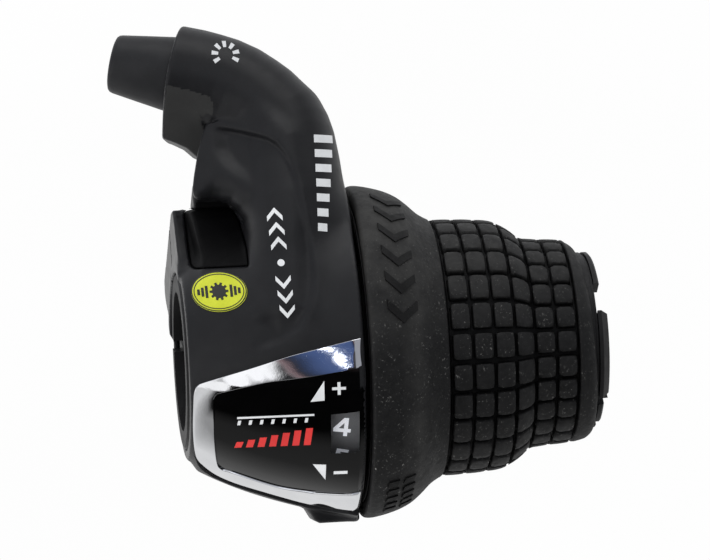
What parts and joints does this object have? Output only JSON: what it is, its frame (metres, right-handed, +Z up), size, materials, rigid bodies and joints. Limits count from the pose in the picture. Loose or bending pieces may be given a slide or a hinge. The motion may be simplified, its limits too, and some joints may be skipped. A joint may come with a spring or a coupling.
{
  "type": "twist grip shifter",
  "caption": "Right-hand bicycle twist grip shifter: clamp-on housing with an elbowed cable arm, a gear number window with a bright bezel, and a block-tread rubber grip that clicks round.",
  "frame": {"origin": "on the handlebar axis, at the inboard face of the clamp collar", "axes": "+X along the handlebar, outboard; +Y forward, away from the rider; +Z up. The indicator face leans back 25 degrees from upright, towards the rider."},
  "size_m": [0.0772, 0.0565, 0.0772],
  "materials": {
    "cover_plastic": "satin moulded black plastic with a fine spark texture",
    "bracket_plastic": "dull moulded dark grey plastic",
    "cap_plastic": "soft matt black plastic",
    "stop_plastic": "satin moulded black plastic",
    "liner_plastic": "plain off-white low-friction plastic",
    "lens_plastic": "glossy black print behind clear plastic",
    "bright_chrome": "bright plated plastic",
    "label_yellow": "printed yellow-green film",
    "washer_plastic": "plain natural plastic",
    "drum_plastic": "plain dark grey plastic",
    "ring_plastic": "dark grey plastic with pale numerals",
    "grip_rubber": "dull moulded rubber",
    "zinc_steel": "bright zinc plated steel",
    "spring_steel": "plain spring steel"
  },
  "bodies": {
    "housing": {"clamp_bracket": "bracket_plastic", "clamp_bolt": "zinc_steel", "clamp_nut": "zinc_steel", "front_cover": "cover_plastic", "rear_cover": "cover_plastic", "cover_screws": "zinc_steel", "cable_hole_cap": "cap_plastic", "casing_stop": "stop_plastic", "cable_guide": "liner_plastic", "indicator_bezel": "bright_chrome", "indicator_lens": "lens_plastic", "oval_label": "label_yellow", "thrust_washer": "washer_plastic", "end_washer": "washer_plastic", "detent_spring": "spring_steel", "spring_screw": "zinc_steel"},
    "twist_grip": {"winding_drum": "drum_plastic", "number_ring": "ring_plastic", "grip_barrel": "bracket_plastic", "grip_rubber": "grip_rubber"}
  },
  "joints": [
    {"name": "grip_twist", "type": "hinge", "parent": "housing", "child": "twist_grip", "pos_m": [0.03, 0, 0], "axis": [1, 0, 0], "range_deg": [-45, 45], "deforming": ["detent_spring"]}
  ]
}
